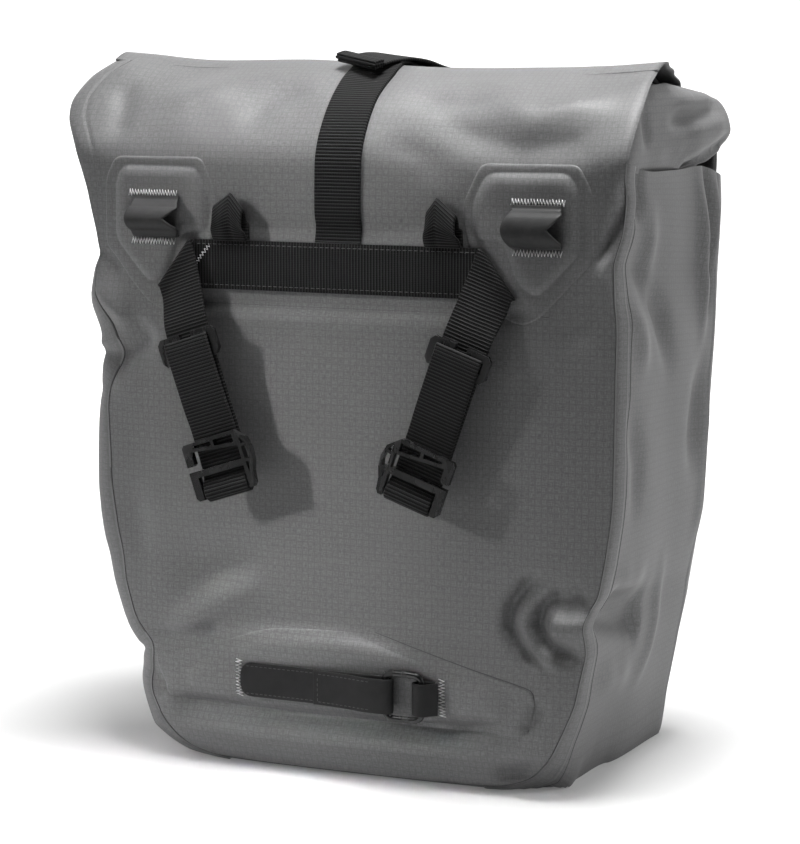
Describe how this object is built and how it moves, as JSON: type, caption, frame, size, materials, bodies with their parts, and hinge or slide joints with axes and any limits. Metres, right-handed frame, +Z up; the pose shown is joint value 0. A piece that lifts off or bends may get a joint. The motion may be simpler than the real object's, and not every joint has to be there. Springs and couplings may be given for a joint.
{
  "type": "pannier bag",
  "caption": "Roll-top bicycle pannier bag in welded coated cloth, with webbing strap hooks, sliders and a closure strap over the rolled top.",
  "frame": {"origin": "middle of the flat bottom, on the floor", "axes": "+Z up the bag; -Y out of the mounting face that carries the strap hooks; +X to the right seen from that face"},
  "size_m": [0.302, 0.1935, 0.3738],
  "materials": {
    "cloth": "matte coated ripstop",
    "webbing": "ribbed matte webbing",
    "rubberised": "smooth matte",
    "plastic": "satin",
    "sheet_plastic": "satin",
    "thread": "matte"
  },
  "bodies": {
    "shell": {"back_panel": "cloth", "front_panel": "cloth", "gusset": "cloth", "left_ear": "cloth", "right_ear": "cloth", "back_stiffener": "sheet_plastic", "left_patch": "cloth", "right_patch": "cloth", "left_patch_loop": "rubberised", "right_patch_loop": "rubberised", "upper_bar_tacks": "thread", "lower_patch": "cloth", "lower_bar_tacks": "thread", "webbing_band": "webbing", "left_hook_loop": "webbing", "right_hook_loop": "webbing", "closure_strap_lower": "webbing", "front_anchor": "webbing", "lower_strap": "rubberised", "ring_loop": "rubberised"},
    "flap": {"roll_flap": "cloth", "closure_strap_flap": "webbing"},
    "roll": {"rolled_hem": "cloth", "hem_stiffener": "sheet_plastic", "closure_strap_top": "webbing"},
    "collar": {"front_collar": "cloth"},
    "closure_strap": {"closure_strap_far": "webbing"},
    "tail": {"strap_tail": "webbing"},
    "closure_hook": {"closure_hook": "plastic"},
    "ring": {"lower_ring": "plastic"},
    "left_strap": {"left_strap": "webbing"},
    "right_strap": {"right_strap": "webbing"},
    "left_slider": {"left_slider": "plastic"},
    "right_slider": {"right_slider": "plastic"},
    "left_hook": {"left_hook": "plastic"},
    "right_hook": {"right_hook": "plastic"}
  },
  "joints": [
    {"name": "flap_lift", "type": "hinge", "parent": "shell", "child": "flap", "pos_m": [0, -0.08, 0.318], "axis": [1, 0, 0], "range_deg": [0, 100]},
    {"name": "collar_fold", "type": "hinge", "parent": "shell", "child": "collar", "pos_m": [0, 0.08, 0.3004], "axis": [-1, 0, 0], "range_deg": [0, 80]},
    {"name": "roll_turn", "type": "hinge", "parent": "flap", "child": "roll", "pos_m": [0, -0.028, 0.3648], "axis": [1, 0, 0], "range_deg": [0, 20]},
    {"name": "closure_strap_lift", "type": "hinge", "parent": "roll", "child": "closure_strap", "pos_m": [0, 0.0212, 0.3574], "axis": [1, 0, 0], "range_deg": [0, 90]},
    {"name": "tail_lift", "type": "hinge", "parent": "roll", "child": "tail", "pos_m": [0.015, 0.014, 0.365], "axis": [-0.9272, 0.3746, 0], "range_deg": [0, 90]},
    {"name": "closure_hook_swing", "type": "hinge", "parent": "closure_strap", "child": "closure_hook", "pos_m": [0, 0.0865, 0.2665], "axis": [1, 0, 0], "range_deg": [0, 70]},
    {"name": "ring_tilt", "type": "hinge", "parent": "shell", "child": "ring", "pos_m": [0.0385, -0.0875, 0.0485], "axis": [0, 0, 1], "range_deg": [-3, 3]},
    {"name": "left_strap_swing", "type": "hinge", "parent": "shell", "child": "left_strap", "pos_m": [-0.0895, -0.0832, 0.262], "axis": [-0.95, 0, -0.3123], "range_deg": [0, 90]},
    {"name": "left_slider_slide", "type": "slide", "parent": "left_strap", "child": "left_slider", "axis": [-0.3123, 0, 0.95], "range_m": [0, 0.012]},
    {"name": "left_hook_tip", "type": "hinge", "parent": "left_strap", "child": "left_hook", "pos_m": [-0.05296, -0.098, 0.15085], "axis": [0.95, 0, 0.3123], "range_deg": [0, 60]},
    {"name": "right_strap_swing", "type": "hinge", "parent": "shell", "child": "right_strap", "pos_m": [0.085, -0.0832, 0.262], "axis": [-0.9426, 0, 0.3338], "range_deg": [0, 90]},
    {"name": "right_slider_slide", "type": "slide", "parent": "right_strap", "child": "right_slider", "axis": [0.3338, 0, 0.9426], "range_m": [0, 0.012]},
    {"name": "right_hook_tip", "type": "hinge", "parent": "right_strap", "child": "right_hook", "pos_m": [0.04594, -0.098, 0.15171], "axis": [0.9426, 0, -0.3338], "range_deg": [0, 60]}
  ],
  "couplings": [
    {"joint": "collar_fold", "follows": "flap_lift", "ratio": 0.8}
  ]
}
